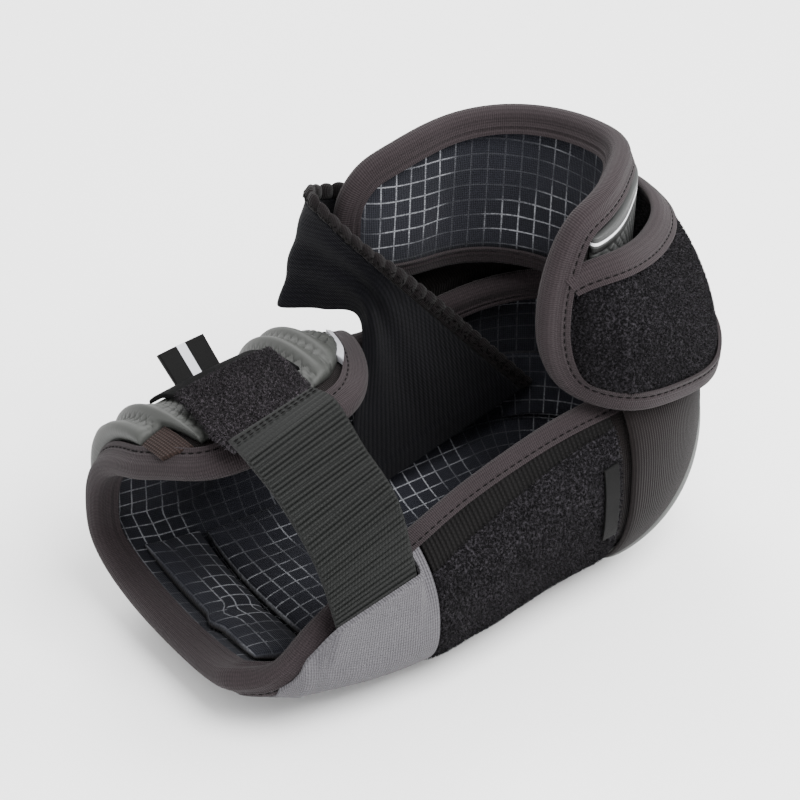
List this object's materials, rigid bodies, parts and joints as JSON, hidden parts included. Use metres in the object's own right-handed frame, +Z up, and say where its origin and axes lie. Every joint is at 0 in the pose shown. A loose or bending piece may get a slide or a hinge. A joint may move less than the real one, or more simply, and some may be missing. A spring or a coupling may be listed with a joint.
{
  "type": "hockey elbow pad",
  "caption": "Padded elbow guard for the right arm: forearm trough with moulded guard and strap, round elbow end and an upper-arm sleeve with a plush closing strap.",
  "frame": {"origin": "centre of the bounding box, on the surface that the pad lies on", "axes": "+X along the forearm from the wrist to the elbow, +Y to the side with the forearm guard, +Z up"},
  "size_m": [0.2588, 0.1502, 0.1817],
  "materials": {
    "liner": "ribbed dark knit with a broken light grid",
    "tape": "ribbed brown-grey knit tape",
    "knit": "pale grey stretch knit",
    "loop_pile": "black brushed loop pile",
    "mesh": "black coarse mesh",
    "woven": "brown-black woven cloth",
    "rubber": "grey moulded, matt",
    "webbing": "green-black ribbed webbing",
    "elastic": "blue-black fine twill",
    "strip": "pale piping",
    "tag": "black woven tag"
  },
  "bodies": {
    "root": {"arm_pad": "liner", "arm_binding": "tape", "wrist_cushion": "liner", "forearm_cushion": "liner", "elbow_cushion": "liner", "knit_panel": "knit", "loop_panel": "loop_pile", "mesh_strip": "mesh", "side_tag": "tag", "elbow_cap": "rubber", "elbow_cover": "woven", "forearm_guard": "rubber", "guard_mesh": "woven", "light_strip": "strip", "hook_tab": "webbing", "strap_patch": "loop_pile", "pull_tab": "tag", "forearm_webbing": "webbing", "elbow_sling": "elastic", "sling_edging": "tape", "sleeve_pad": "liner", "sleeve_binding": "tape", "sleeve_hem": "tape", "sleeve_guard": "rubber", "sleeve_strap": "loop_pile", "strap_binding": "tape"}
  },
  "joints": []
}
